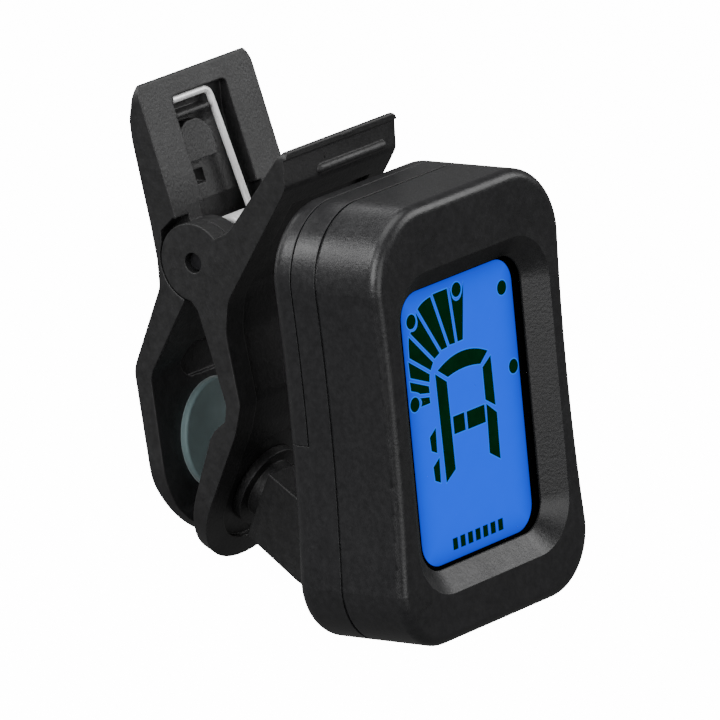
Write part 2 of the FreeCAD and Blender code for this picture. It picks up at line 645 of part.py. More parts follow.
def crystal():
    return rod(V(6.6, depth(BOARD[1] + 0.65), HOUSE_Z - 7.2), V(0, 0, 1), 0.65, 4.0)


def chip_parts():
    """Small resistors and capacitors, as separate solids."""
    places = [(-7.2 + 1.6 * (i % 3), HOUSE_Z - 8.7 - 2.2 * (i // 3)) for i in range(9)]
    return Part.makeCompound([on_board(x, z, 1.0, 0.6, 0.45) for x, z in places])


def tact_switch():
    face = BUTTON_IN - BUTTON_FLANGE - 0.45
    body = box((10.15, face), (depth(5.2), depth(BOARD[0])), (BUTTON_Z - 1.8, BUTTON_Z + 1.8))
    plunger = rod(V(face, depth(BUTTON_DEPTH), BUTTON_Z), V(1, 0, 0), 0.55, 0.12)
    return body.fuse(plunger).removeSplitter()


def power_button():
    y = depth(BUTTON_DEPTH)
    z0, z1 = BUTTON_Z - BUTTON_LEN / 2, BUTTON_Z + BUTTON_LEN / 2
    cap = box((BUTTON_IN, HOUSE_W / 2 + 0.25), (y - BUTTON_W / 2, y + BUTTON_W / 2), (z0, z1))
    long_edges = [e for e in cap.Edges if abs(e.BoundBox.XLength) > 1]
    cap = cap.makeFillet(1.0, long_edges)
    outer = [e for e in cap.Edges if e.BoundBox.XMin > HOUSE_W / 2 + 0.2]
    cap = cap.makeFillet(0.3, outer)
    flange = box((BUTTON_IN - BUTTON_FLANGE, BUTTON_IN), (y - 0.95, y + 0.95), (z0 - 0.7, z1 + 0.7))
    return cap.fuse(flange).removeSplitter()


def coin_cell():
    can = post(0, COIN_Z, COIN_R, COIN_DEPTH + 0.35, COIN_DEPTH + COIN_T)
    rim = [e for e in can.Edges if e.BoundBox.YMin > depth(COIN_DEPTH + COIN_T) - 1e-4]
    can = can.makeFillet(0.4, rim)
    cap = post(0, COIN_Z, COIN_R - 1.3, COIN_DEPTH, COIN_DEPTH + 0.35)
    return can.fuse(cap).removeSplitter()


def contact_negative():
    leaf = post(0, COIN_Z, 3.0, POCKET_FLOOR, POCKET_FLOOR + 0.25)
    tail = box((-1.0, 1.0), (depth(POCKET_FLOOR), depth(POCKET_FLOOR + 0.25)),
               (COIN_Z - 9.0, COIN_Z))
    return leaf.fuse(tail).removeSplitter()


def contact_positive():
    z = COIN_Z + COIN_R + 0.25
    upright = box((-3.0, 3.0), (depth(SEAM_COVER), depth(13.0)), (z, z + 0.3))
    foot = box((-3.0, 3.0), (depth(SEAM_COVER), depth(SEAM_COVER + 0.3)), (z, z + 1.6))
    return upright.fuse(foot).removeSplitter()


def pickup_disc():
    plate = post(0, HOUSE_Z - 13.2, 6.0, HOUSE_D - WALL - 0.25, HOUSE_D - WALL)
    crystal_disc = post(0, HOUSE_Z - 13.2, 4.2, HOUSE_D - WALL - 0.45, HOUSE_D - WALL - 0.25)
    return plate.fuse(crystal_disc).removeSplitter()


def case_screws():
    screws = []
    for x, z in screw_places():
        head = post(x, z, SCREW_HEAD_R, *SCREW_HEAD)
        shank = post(x, z, SCREW_SHANK_R, SEAM_SHELLS - 3.0, SCREW_HEAD[0])
        cross = [box((x - a, x + a), (depth(SCREW_HEAD[1] - 0.4), depth(SCREW_HEAD[1]) + 1),
                     (z - b, z + b)) for a, b in ((0.9, 0.15), (0.15, 0.9))]
        screws.append(head.fuse(shank).cut(Part.makeCompound(cross)).removeSplitter())
    return Part.makeCompound(screws)


PARTS = [
    front_lever, rear_lever, pivot_pin, torsion_spring, front_pad, rear_pad,
    swivel_fork, swivel_washer, swivel_screw, tilt_pin,
    front_shell, back_shell, battery_cover, window_lens, lcd_glass, backlight_panel,
    backlight_leds, zebra_strip, main_board, controller_chip, crystal, chip_parts,
    tact_switch, power_button, coin_cell, contact_negative, contact_positive, pickup_disc,
    case_screws,
]

os.makedirs("parts", exist_ok=True)
for make in PARTS:
    shape = make()
    shape.translate(V(0, -CLAMP_Y, -CLAMP_Z))
    shape.exportStep(f"parts/{make.__name__}.step")
    print(make.__name__, len(shape.Solids), shape.isValid(), round(shape.Volume, 1))
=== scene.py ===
"""Clip-on tuner: materials, display, spring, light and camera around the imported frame.

Metres throughout, in the frame's own axes: X across the clip, -Y the way the display faces, +Z up.
"""
import json
import math

import bpy
import bmesh
from mathutils import Matrix, Vector


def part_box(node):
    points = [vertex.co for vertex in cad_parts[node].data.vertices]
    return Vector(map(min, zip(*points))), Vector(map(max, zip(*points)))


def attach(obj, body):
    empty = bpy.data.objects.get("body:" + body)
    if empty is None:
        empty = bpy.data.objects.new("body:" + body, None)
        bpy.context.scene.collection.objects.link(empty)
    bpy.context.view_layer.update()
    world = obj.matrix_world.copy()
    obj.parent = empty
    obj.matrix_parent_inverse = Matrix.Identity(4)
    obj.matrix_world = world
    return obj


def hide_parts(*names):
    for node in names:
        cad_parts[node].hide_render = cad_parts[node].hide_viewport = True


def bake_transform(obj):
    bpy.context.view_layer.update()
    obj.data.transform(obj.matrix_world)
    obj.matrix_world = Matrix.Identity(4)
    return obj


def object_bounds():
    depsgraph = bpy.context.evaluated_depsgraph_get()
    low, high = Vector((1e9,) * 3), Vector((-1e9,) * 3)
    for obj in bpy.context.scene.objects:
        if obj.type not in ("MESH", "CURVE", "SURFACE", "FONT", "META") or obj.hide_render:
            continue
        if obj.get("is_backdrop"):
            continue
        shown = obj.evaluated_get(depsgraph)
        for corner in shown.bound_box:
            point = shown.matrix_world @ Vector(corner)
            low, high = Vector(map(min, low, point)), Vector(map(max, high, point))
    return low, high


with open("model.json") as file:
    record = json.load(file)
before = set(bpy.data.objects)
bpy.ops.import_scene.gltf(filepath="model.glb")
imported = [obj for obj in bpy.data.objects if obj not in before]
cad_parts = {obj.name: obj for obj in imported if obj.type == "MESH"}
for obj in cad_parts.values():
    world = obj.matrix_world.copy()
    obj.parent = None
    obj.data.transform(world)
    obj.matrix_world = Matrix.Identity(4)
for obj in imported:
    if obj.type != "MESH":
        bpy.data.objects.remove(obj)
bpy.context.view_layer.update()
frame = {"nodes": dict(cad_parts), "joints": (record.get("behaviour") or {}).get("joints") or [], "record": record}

MM = 0.001
JOINTS = {joint["name"]: joint for joint in frame["joints"]}
PIVOT = Vector(JOINTS["jaw_hinge"]["pos_m"])
LCD_LOW, LCD_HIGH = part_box("lcd_glass")
LCD_MIDDLE = (LCD_LOW + LCD_HIGH) / 2

# ---- camera: where it looks from, in degrees, and how it frames the object -----------------
CAMERA_AZIMUTH = -50.7
CAMERA_ELEVATION = 14.0
CAMERA_ROLL = -5.45
CAMERA_DISTANCE = 1.2
CAMERA_AIM = Vector((0.0, -0.012, -0.004))
CAMERA_SIDE = 3.29 * MM              # how far the camera is shifted to its right of the aim point
CAMERA_RISE = 13.96 * MM             # and upwards
PICTURE_WIDTH = 76.2 * MM            # what the picture takes in, across, at the aim point
SENSOR = 36.0                        # width of the camera's sensor, in mm
CLIP_NEAR = 0.01
CLIP_FAR = 20.0

# ---- display artwork, in mm from the middle of the display ----------------------------------
ART_UP = 1.2                         # middle of the visible window above the display's middle
SCREEN_HALF = 9.45                   # half the width of the lit area
SCREEN_TOP = 13.6
SCREEN_FOOT = -16.0
SCREEN_CORNER = 2.8
BORDER = 1.4                         # black frame printed around the lit area
BORDER_CORNER = 1.0

# each layer of the artwork: how far it stands off the glass, and its thickness
BORDER_LAYER = (0.002, 0.004)
SCREEN_LAYER = (0.008, 0.014)
HALO_LAYER = (0.026, 0.004)
SEGMENT_LAYER = (0.031, 0.008)
HALO_WIDTH = 0.11

# the meter: a fan of wedges between an inner and an outer rounded box (half width, half height,
# power), and the dots round it
FAN_CENTRE = (-0.15, 1.15)
FAN_START = 82.4                     # degrees
FAN_STOP = 180.0
FAN_FLATNESS = 0.87
FAN_WEDGES = 8
FAN_INNER = (5.75, 5.45, 3.2)
FAN_OUTER = (8.75, 11.45, 4.0)
DOTS = [(-8.46, 1.84), (-7.83, 10.60), (0.12, 12.09), (7.73, 10.40), (8.51, 1.68)]
DOT_R = 0.78
DOT_HALO = 0.42                      # clear ring between a dot and the wedges

# ---- colours and light ----------------------------------------------------------------------
CLIP_BLACK = (0.012, 0.012, 0.0125)
HOUSE_BLACK = (0.012, 0.012, 0.013)
LCD_BLUE = (0.0, 0.075, 1.0)
LCD_BLUE_EDGE = (0.0, 0.040, 0.60)
LCD_HALO = (0.0, 0.17, 1.0)
LCD_STRENGTH = 1.30
FLOOR_GLOW = 14.0
FLOOR_DROP = 0.030                   # floor below the object
FLOOR_HALF = 6.0
WORLD_STRENGTH = 0.16
LIGHT_AIM = (0.0, -0.015, 0.0)

# name: (power, side of the square, place)
LIGHTS = {
    "top": (2.2, 0.50, (0.0, 0.0, 0.60)),
    "back_left": (2.0, 0.30, (-0.40, 0.50, 0.46)),
    "left": (4.0, 0.45, (-0.60, -0.10, 0.28)),
    "front_right": (2.1, 0.40, (0.45, -0.42, 0.30)),
    "front_left": (1.3, 0.40, (-0.22, -0.62, 0.06)),
    "back": (1.6, 0.50, (0.25, 0.60, 0.25)),
}

# ---- spring, in mm from the pivot -----------------------------------------------------------
WIRE_R = 0.4
COIL_R = 3.1
COIL_TURNS = 7.5
STEPS_PER_TURN = 40
COIL_HALF = 2.9                      # half the coil's length, between the wire's centres
REAR_LEG_FOOT = (1.72, 2.6)          # ends of the legs: (y, z)
REAR_LEG_TOP = (5.15, 16.0)
REAR_LEG_X = 1.8                     # upper end of the rear leg, where it bends into the hook
HOOK_END = -4.3
FRONT_LEG_FOOT = (-2.3, 2.0)
FRONT_LEG_TOP = (-9.9, 8.0)
BEND_R = 1.0

# ---- marks on the thumb plate, in mm from the pivot ------------------------------------------
# name: (middle x, half width, foot z, top z, y of the face they lie on)
PLATE_MARKS = {"thumb_dash": (0.8, 1.0, 12.38, 12.72, -13.90),
               "thumb_flash": (-2.54, 0.05, 10.65, 11.40, -13.50)}
MARK_T = 0.12
MARK_SUNK = 0.06                     # part of the thickness that lies in the face


# ---- small helpers --------------------------------------------------------------------------
def new_object(name, mesh):
    piece = bpy.data.objects.new(name, mesh)
    bpy.context.scene.collection.objects.link(piece)
    return piece


def mesh_object(name, make):
    """An object from a function that fills a bmesh."""
    bm = bmesh.new()
    make(bm)
    bmesh.ops.recalc_face_normals(bm, faces=bm.faces)
    mesh = bpy.data.meshes.new(name)
    bm.to_mesh(mesh)
    bm.free()
    return new_object(name, mesh)


def smooth(piece, degrees=35):
    """Rounds the shading of everything flatter than this angle."""
    for polygon in piece.data.polygons:
        polygon.use_smooth = True
    piece.data.set_sharp_from_angle(angle=math.radians(degrees))


def add_plate(bm, points, place, thickness):
    """A flat plate: its outline is (x, z) in mm, and place() turns (x, z, out) into a point."""
    front = [bm.verts.new(place(x, z, thickness)) for x, z in points]
    back = [bm.verts.new(place(x, z, 0.0)) for x, z in points]
    bm.faces.new(front)
    bm.faces.new(back[::-1])
    count = len(points)
    for i in range(count):
        j = (i + 1) % count
        bm.faces.new((front[j], front[i], back[i], back[j]))


def rounded_rectangle(half, low, high, radius, steps=10):
    """The outline of a rounded rectangle, as (x, z)."""
    points = []
    corners = ((half, high, 0), (-half, high, 90), (-half, low, 180), (half, low, 270))
    for x, z, start in corners:
        cx = x - math.copysign(radius, x)
        cz = z - (radius if z == high else -radius)
        for i in range(steps + 1):
            angle = math.radians(start + 90 * i / steps)
            points.append((cx + radius * math.cos(angle), cz + radius * math.sin(angle)))
    return points


def circle(cx, cz, radius, steps=40):
    return [(cx + radius * math.cos(math.tau * i / steps),
             cz + radius * math.sin(math.tau * i / steps)) for i in range(steps)]


def round_corners(points, radius, steps=8):
    """A path whose inner corners are rounded by arcs of this radius."""
    path = [points[0]]
    for before, here, after in zip(points, points[1:], points[2:]):
        a = (before - here).normalized()
        b = (after - here).normalized()
        half = a.angle(b) / 2
        reach = radius / math.tan(half)
        middle = here + (a + b).normalized() * (radius / math.sin(half))
        start = here + a * reach - middle
        stop = here + b * reach - middle
        axis = start.cross(stop).normalized()
        turn = start.angle(stop)
        for i in range(steps + 1):
            path.append(middle + Matrix.Rotation(turn * i / steps, 3, axis) @ start)
    path.append(points[-1])
    return path


def wire(name, path, radius):
    """A round wire along a path, as a mesh with closed ends."""
    curve = bpy.data.curves.new(name, "CURVE")
    curve.dimensions = "3D"
    curve.bevel_depth = radius
    curve.bevel_resolution = 5
    curve.use_fill_caps = True
    spline = curve.splines.new("POLY")
    spline.points.add(len(path) - 1)
    for point, place in zip(spline.points, path):
        point.co = (*place, 1.0)
    holder = bpy.data.objects.new(name + "_path", curve)
    bpy.context.scene.collection.objects.link(holder)
    mesh = bpy.data.meshes.new_from_object(holder)
    bpy.data.objects.remove(holder)
    mesh.name = name
    piece = new_object(name, mesh)
    smooth(piece, 50)
    return piece


# ---- materials ------------------------------------------------------------------------------
class Nodes:
    """A short way to build one material's node tree."""

    def __init__(self, name):
        self.material = bpy.data.materials.new(name)
        self.material.use_nodes = True
        self.tree = self.material.node_tree
        self.shader = self.tree.nodes["Principled BSDF"]
        self.place = self.add("ShaderNodeTexCoord").outputs["Object"]

    def add(self, kind, **settings):
        node = self.tree.nodes.new(kind)
        for key, value in settings.items():
            setattr(node, key, value)
        return node

    def link(self, source, target):
        self.tree.links.new(source, target)

    def set(self, **values):
        for key, value in values.items():
            self.shader.inputs[key.replace("_", " ")].default_value = value

    def noise(self, scale, detail=3.0, rough=0.55, place=None):
        node = self.add("ShaderNodeTexNoise")
        node.inputs["Scale"].default_value = scale
        node.inputs["Detail"].default_value = detail
        node.inputs["Roughness"].default_value = rough
        self.link(place or self.place, node.inputs["Vector"])
        return node.outputs["Fac"]

    def stretched(self, scale):
        node = self.add("ShaderNodeMapping")
        node.inputs["Scale"].default_value = scale
        self.link(self.place, node.inputs["Vector"])
        return node.outputs["Vector"]

    def ranged(self, source, low, high, from_low=0.3, from_high=0.7):
        node = self.add("ShaderNodeMapRange")
        node.inputs["From Min"].default_value = from_low
        node.inputs["From Max"].default_value = from_high
        node.inputs["To Min"].default_value = low
        node.inputs["To Max"].default_value = high
        self.link(source, node.inputs["Value"])
        return node.outputs["Result"]

    def mixed(self, factor, first, second):
        node = self.add("ShaderNodeMix", data_type="RGBA")
        self.link(factor, node.inputs["Factor"])
        for value, socket in ((first, node.inputs[6]), (second, node.inputs[7])):
            if isinstance(value, tuple):
                socket.default_value = (*value, 1.0)
            else:
                self.link(value, socket)
        return node.outputs[2]

    def maths(self, operation, first, second):
        node = self.add("ShaderNodeMath", operation=operation, use_clamp=True)
        for value, socket in ((first, node.inputs[0]), (second, node.inputs[1])):
            if isinstance(value, (int, float)):
                socket.default_value = value
            else:
                self.link(value, socket)
        return node.outputs[0]

    def distance(self, source, middle):
        """How far a coordinate is from a middle value, either way."""
        away = self.add("ShaderNodeMath", operation="SUBTRACT")
        self.link(source, away.inputs[0])
        away.inputs[1].default_value = middle
        size = self.add("ShaderNodeMath", operation="ABSOLUTE")
        self.link(away.outputs[0], size.inputs[0])
        return size.outputs[0]

    def rounded(self, radius):
        """A normal that rounds off sharp edges."""
        node = self.add("ShaderNodeBevel", samples=6)
        node.inputs["Radius"].default_value = radius
        return node.outputs["Normal"]

    def edges(self, radius):
        """1 along sharp edges and 0 elsewhere."""
        geometry = self.add("ShaderNodeNewGeometry")
        dot = self.add("ShaderNodeVectorMath", operation="DOT_PRODUCT")
        self.link(self.rounded(radius), dot.inputs[0])
        self.link(geometry.outputs["Normal"], dot.inputs[1])
        return self.ranged(dot.outputs["Value"], 1.0, 0.0, 0.80, 0.99)

    def bump(self, height, strength, distance, normal=None):
        node = self.add("ShaderNodeBump")
        node.inputs["Strength"].default_value = strength
        node.inputs["Distance"].default_value = distance
        self.link(height, node.inputs["Height"])
        if normal is not None:
            self.link(normal, node.inputs["Normal"])
        return node.outputs["Normal"]

    def finish(self, colour=None, roughness=None, normal=None):
        for socket, source in (("Base Color", colour), ("Roughness", roughness),
                               ("Normal", normal)):
            if source is not None:
                self.link(source, self.shader.inputs[socket])
        return self.material


def plastic(name, colour, roughness, grain=0.35, grain_scale=5200, edge=0.22 * MM):
    """Moulded plastic: fine spark-eroded grain, cloudy gloss, edges rubbed a little lighter."""
    n = Nodes(name)
    n.set(Specular_IOR_Level=0.5)
    fine = n.noise(grain_scale, 2.0)
    speck = n.noise(grain_scale * 0.45, 4.0, 0.7)
    cloud = n.noise(160, 3.0)
    dark = tuple(c * 0.80 for c in colour)
    light = tuple(c * 1.30 + 0.002 for c in colour)
    base = n.mixed(n.ranged(speck, 0.0, 1.0), dark, light)
    rubbed = n.maths("MULTIPLY", n.edges(edge), n.ranged(cloud, 0.3, 0.5))
    worn = tuple(c * 2.2 + 0.012 for c in colour)
    colour_out = n.mixed(rubbed, base, worn)
    rough = n.maths("ADD", n.ranged(cloud, roughness - 0.04, roughness + 0.05),
                    n.ranged(speck, -0.04, 0.05))
    rough = n.maths("SUBTRACT", rough, n.maths("MULTIPLY", rubbed, 0.12))
    normal = n.bump(fine, grain, 0.05 * MM, n.rounded(edge))
    return n.finish(colour_out, rough, normal)


def metal(name, colour, roughness, along=(1.0, 1.0, 1.0), metallic=1.0):
    """Metal with fine drawn or brushed lines, and faint tarnish."""
    n = Nodes(name)
    n.set(Metallic=metallic)
    lines = n.noise(2500, 4.0, 0.6, n.stretched(along))
    tarnish = n.noise(420, 3.0)
    dull = tuple(c * 0.72 for c in colour)
    base = n.mixed(n.ranged(tarnish, 0.0, 0.55), colour, dull)
    rough = n.maths("ADD", n.ranged(lines, roughness - 0.08, roughness + 0.08),
                    n.ranged(tarnish, 0.0, 0.06))
    return n.finish(base, rough, n.bump(lines, 0.25, 0.008 * MM, n.rounded(0.05 * MM)))


def rubber(name, colour, roughness):
    """Soft matte rubber: powdery bloom and a slightly pebbled skin."""
    n = Nodes(name)
    n.set(Specular_IOR_Level=0.35, Sheen_Weight=0.25, Sheen_Roughness=0.5)
    skin = n.noise(3600, 3.0)
    bloom = n.noise(260, 4.0, 0.6)
    light = tuple(c * 1.22 + 0.01 for c in colour)
    edge = n.maths("MULTIPLY", n.edges(0.35 * MM), 0.6)
    base = n.mixed(n.ranged(bloom, 0.0, 0.8), tuple(c * 0.9 for c in colour), light)
    base = n.mixed(edge, base, tuple(c * 2.6 + 0.03 for c in colour))
    rough = n.ranged(bloom, roughness - 0.06, roughness + 0.08)
    return n.finish(base, rough, n.bump(skin, 0.3, 0.02 * MM, n.rounded(0.25 * MM)))


def circuit_board():
    """Green solder mask over copper tracks."""
    n = Nodes("board_green")
    n.set(Specular_IOR_Level=0.5)
    tracks = n.add("ShaderNodeTexBrick", offset=0.35, squash=0.6, squash_frequency=3)
    tracks.inputs["Scale"].default_value = 260
    tracks.inputs["Mortar Size"].default_value = 0.03
    tracks.inputs["Brick Width"].default_value = 0.9
    tracks.inputs["Row Height"].default_value = 0.3
    turned = n.add("ShaderNodeMapping")
    turned.inputs["Rotation"].default_value = (math.pi / 2, 0.0, 0.0)
    n.link(n.place, turned.inputs["Vector"])
    n.link(turned.outputs["Vector"], tracks.inputs["Vector"])
    base = n.mixed(tracks.outputs["Fac"], (0.010, 0.110, 0.045), (0.020, 0.190, 0.080))
    weave = n.noise(1800, 3.0)
    rough = n.ranged(weave, 0.24, 0.38)
    height = n.maths("ADD", tracks.outputs["Fac"], n.ranged(weave, 0.0, 0.2))
    return n.finish(base, rough, n.bump(height, 0.3, 0.03 * MM))


def clear_lens():
    """Clear window: faint surface ripple and hairline scuffs, thin enough not to bend the view."""
    n = Nodes("clear_lens")
    n.set(Base_Color=(1.0, 1.0, 1.0, 1.0), Transmission_Weight=1.0, IOR=1.01,
          Specular_IOR_Level=0.0)
    scuffs = n.noise(900, 5.0, 0.7, n.stretched((1.0, 1.0, 0.15)))
    rough = n.ranged(scuffs, 0.0, 0.02)
    return n.finish(roughness=rough, normal=n.bump(n.noise(120, 1.0), 0.02, 0.01 * MM))


def lit_screen():
    """Blue backlit display: brightest in the middle, dimmer towards its rounded border."""
    n = Nodes("lcd_lit")
    place = n.add("ShaderNodeSeparateXYZ")
    n.link(n.place, place.inputs["Vector"])
    half_height = (SCREEN_TOP - SCREEN_FOOT) / 2 * MM
    middle = LCD_MIDDLE.z + (ART_UP + (SCREEN_TOP + SCREEN_FOOT) / 2) * MM
    across = n.maths("DIVIDE", n.distance(place.outputs["X"], LCD_MIDDLE.x), SCREEN_HALF * MM)
    up = n.maths("DIVIDE", n.distance(place.outputs["Z"], middle), half_height)
    border = n.maths("MAXIMUM", n.maths("POWER", across, 9.0), n.maths("POWER", up, 14.0))
    mottle = n.noise(500, 3.0)
    edge_glow = n.maths("ADD", border, n.ranged(mottle, 0.0, 0.05))
    colour = n.mixed(edge_glow, LCD_BLUE, LCD_BLUE_EDGE)
    n.set(Base_Color=(0.0, 0.002, 0.01, 1.0), Emission_Strength=LCD_STRENGTH, IOR=1.0)
    n.link(colour, n.shader.inputs["Emission Color"])
    return n.finish(roughness=n.ranged(mottle, 0.30, 0.40))


def dark_segment():
    """Switched-on segment: nearly black green, faintly mottled lighter and darker."""
    n = Nodes("lcd_segment")
    mottle = n.noise(900, 3.0)
    colour = n.mixed(n.ranged(mottle, 0.0, 1.0), (0.0, 0.0125, 0.0034), (0.0, 0.0180, 0.0052))
    n.set(Emission_Strength=1.0, IOR=1.0)
    n.link(colour, n.shader.inputs["Emission Color"])
    return n.finish(n.mixed(mottle, (0.001, 0.010, 0.004), (0.002, 0.016, 0.006)),
                    n.ranged(mottle, 0.35, 0.5))


def border_black():
    """Black paint printed around the lit area."""
    n = Nodes("lcd_border")
    mottle = n.noise(700, 3.0)
    n.set(IOR=1.0)
    return n.finish(n.mixed(mottle, (0.002, 0.002, 0.002), (0.004, 0.004, 0.005)),
                    n.ranged(mottle, 0.35, 0.5), n.bump(mottle, 0.1, 0.005 * MM))


def halo():
    """Paler line that the backlight leaves around each segment."""
    n = Nodes("lcd_halo")
    mottle = n.noise(900, 3.0)
    n.set(Base_Color=(0.0, 0.004, 0.01, 1.0), Emission_Strength=LCD_STRENGTH, IOR=1.0)
    n.link(n.mixed(n.ranged(mottle, 0.0, 1.0), LCD_HALO, tuple(c * 0.92 for c in LCD_HALO)),
           n.shader.inputs["Emission Color"])
    return n.finish(roughness=n.ranged(mottle, 0.30, 0.40))


MATERIALS = {
    "black_abs": plastic("black_abs", CLIP_BLACK, 0.44, grain=0.7, grain_scale=2900),
    "housing_abs": plastic("housing_abs", HOUSE_BLACK, 0.33, grain=0.5, grain_scale=2900,
                           edge=0.12 * MM),
    "button_abs": plastic("button_abs", (0.030, 0.030, 0.032), 0.40, grain=0.3),
    "dark_steel": metal("dark_steel", (0.06, 0.06, 0.065), 0.38),
    # painted reflection: the spring wire gets a white, mostly non-metallic base so that it shows as bright as
    # polished steel mirroring pale surroundings
    "spring_wire": metal("spring_wire", (1.0, 1.0, 1.0), 0.28, (1.0, 0.2, 0.2),
                         metallic=0.25),
    "pad_rubber": rubber("pad_rubber", (0.105, 0.155, 0.160), 0.62),
    "screw_steel": metal("screw_steel", (0.55, 0.55, 0.56), 0.30),
    "clear_lens": clear_lens(),
    "lcd": plastic("lcd_block", (0.10, 0.13, 0.15), 0.25, grain=0.1),
    "light_guide": plastic("light_guide", (0.62, 0.72, 0.82), 0.30, grain=0.15),
    "led_white": plastic("led_white", (0.80, 0.82, 0.84), 0.35, grain=0.15),
    "contact_rubber": rubber("contact_rubber", (0.42, 0.20, 0.24), 0.6),
    "board_green": circuit_board(),
    "chip_black": plastic("chip_black", (0.018, 0.018, 0.019), 0.50, grain=0.3, grain_scale=7000),
    "cell_nickel": metal("cell_nickel", (0.66, 0.65, 0.62), 0.28, (1.0, 1.0, 6.0)),
    "contact_brass": metal("contact_brass", (0.78, 0.58, 0.26), 0.30),
}


def dress_frame():
    """Gives every carried-over CAD node the material of its slot."""
    for row in frame["record"]["subparts"]:
        node = frame["nodes"][row["node"]]
        material = MATERIALS[row["material_slot"]]
        if not node.data.materials:
            node.data.materials.append(material)
        for slot in node.material_slots:
            slot.material = material
    # the lit display should not tint the walls around it through its clear lens
    frame["nodes"]["window_lens"].visible_diffuse = False
    frame["nodes"]["window_lens"].visible_glossy = False


# ---- display artwork ------------------------------------------------------------------------
def on_screen(x, z, out):
    """A point on the display from its artwork place in mm, standing out towards the viewer."""
    return Vector((LCD_MIDDLE.x + x * MM, LCD_LOW.y - out * MM, LCD_MIDDLE.z + (z + ART_UP) * MM))


def artwork(name, outlines, layer, material):
    """One piece of flat plates that ride on the housing."""
    out, thickness = layer

    def place(x, z, rise):
        return on_screen(x, z, out + rise)

    def make(bm):
        for outline in outlines:
            add_plate(bm, outline, place, thickness)

    piece = mesh_object(name, make)
    piece.data.materials.append(material)
    piece.visible_diffuse = False
    piece.visible_glossy = False
    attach(piece, "housing")
    return piece


def fan_angles():
    """The directions between the meter's wedges: even steps round a slightly flattened arc."""
    angles = []
    for i in range(FAN_WEDGES + 1):
        turn = math.radians(FAN_START + (FAN_STOP - FAN_START) * i / FAN_WEDGES)
        angles.append(math.atan2(FAN_FLATNESS * math.sin(turn), math.cos(turn)))
    return angles


def superellipse(angle, a, b, power):
    """The reach of a rounded box in a direction."""
    across = abs(math.cos(angle)) / a
    up = abs(math.sin(angle)) / b
    return (across ** power + up ** power) ** (-1 / power)


def outer_reach(angle):
    """How far a wedge runs from the fan's centre before its border or a dot's halo."""
    reach = superellipse(angle, *FAN_OUTER)
    for x, z in DOTS:
        dx, dz = x - FAN_CENTRE[0], z - FAN_CENTRE[1]
        along = dx * math.cos(angle) + dz * math.sin(angle)
        aside = abs(dx * math.sin(angle) - dz * math.cos(angle))
        clear = DOT_R + DOT_HALO
        if along > 0 and aside < clear:
            reach = min(reach, along - math.sqrt(clear ** 2 - aside ** 2))
    return reach


def wedges(gap=0.22, steps=10):
    """The meter's wedges, each between two directions and narrowed by half a gap each side."""
    outlines = []
    angles = fan_angles()

    def point(angle, reach, side):
        x = FAN_CENTRE[0] + reach * math.cos(angle) + side * gap * math.sin(angle)
        z = FAN_CENTRE[1] + reach * math.sin(angle) - side * gap * math.cos(angle)
        return x, z

    for first, second in zip(angles, angles[1:]):
        inner = [point(a, superellipse(a, *FAN_INNER), s)
                 for a, s in ((first, -1), (second, 1))]
        outer = []
        for i in range(steps + 1):
            angle = second + (first - second) * i / steps
            outer.append(point(angle, outer_reach(angle), 1 - 2 * i / steps))
        outlines.append(inner + outer)
    return outlines


def arc_through(x0, x1, z_end, rise, steps=12):
    """Points of a shallow arch from x0 to x1."""
    middle = (x0 + x1) / 2
    half = (x1 - x0) / 2
    points = []
    for i in range(steps + 1):
        x = x0 + (x1 - x0) * i / steps
        points.append((x, z_end + rise * (1 - ((x - middle) / half) ** 2)))
    return points


def note_segments():
    """Segments of the note display: arch, two uprights, cross bars and the two side ticks."""
    arch = arc_through(-4.2, 4.4, 4.42, 1.05) + arc_through(-2.6, 3.0, 3.33, 0.32)[::-1]
    left = [(-4.66, 4.15), (-2.85, 2.90), (-2.72, -6.60), (-4.42, -7.62)]
    upper_right = [(4.82, 3.80), (4.90, -1.62), (3.30, -0.62), (3.30, 2.88)]
    lower_right = [(3.38, -1.10), (5.02, -2.42), (4.92, -7.45), (3.20, -6.40)]
    bar = [(-0.03, -1.07), (3.02, -1.07), (3.02, -2.98), (-0.03, -2.98)]
    short_bar = [(-2.38, -1.02), (-0.46, -1.02), (-0.46, -2.92), (-2.38, -2.92)]
    tick = [(-5.40, -1.45), (-5.52, -4.12), (-6.42, -3.70), (-6.52, -2.20)]
    low_tick = [(x + 0.15, z - 3.25) for x, z in tick]
    return [arch, left, upper_right, lower_right, bar, short_bar, tick, low_tick]


def mode_marks(count=7, width=0.82, pitch=1.3, foot=-15.0, height=1.25):
    """A row of plain bars along the foot of the display."""
    start = -pitch * (count - 1) / 2
    marks = []
    for i in range(count):
        x = start + pitch * i
        marks.append([(x - width / 2, foot), (x + width / 2, foot),
                      (x + width / 2, foot + height), (x - width / 2, foot + height)])
    return marks


def grown(outline, by):
    """An outline pushed outwards by a distance, corner by corner."""
    count = len(outline)
    area = sum(outline[i - 1][0] * outline[i][1] - outline[i][0] * outline[i - 1][1]
               for i in range(count))
    sign = 1.0 if area > 0 else -1.0
    result = []
    for i in range(count):
        before, here, after = (Vector(outline[k % count]) for k in (i - 1, i, i + 1))
        a = (here - before).normalized()
        b = (after - here).normalized()
        na = Vector((a.y, -a.x)) * sign
        nb = Vector((b.y, -b.x)) * sign
        both = na + nb
        if both.length < 1e-6:
            both = na
        both.normalize()
        stretch = min(1.6, 1 / max(0.3, both.dot(na)))
        result.append(tuple(here + both * by * stretch))
    return result


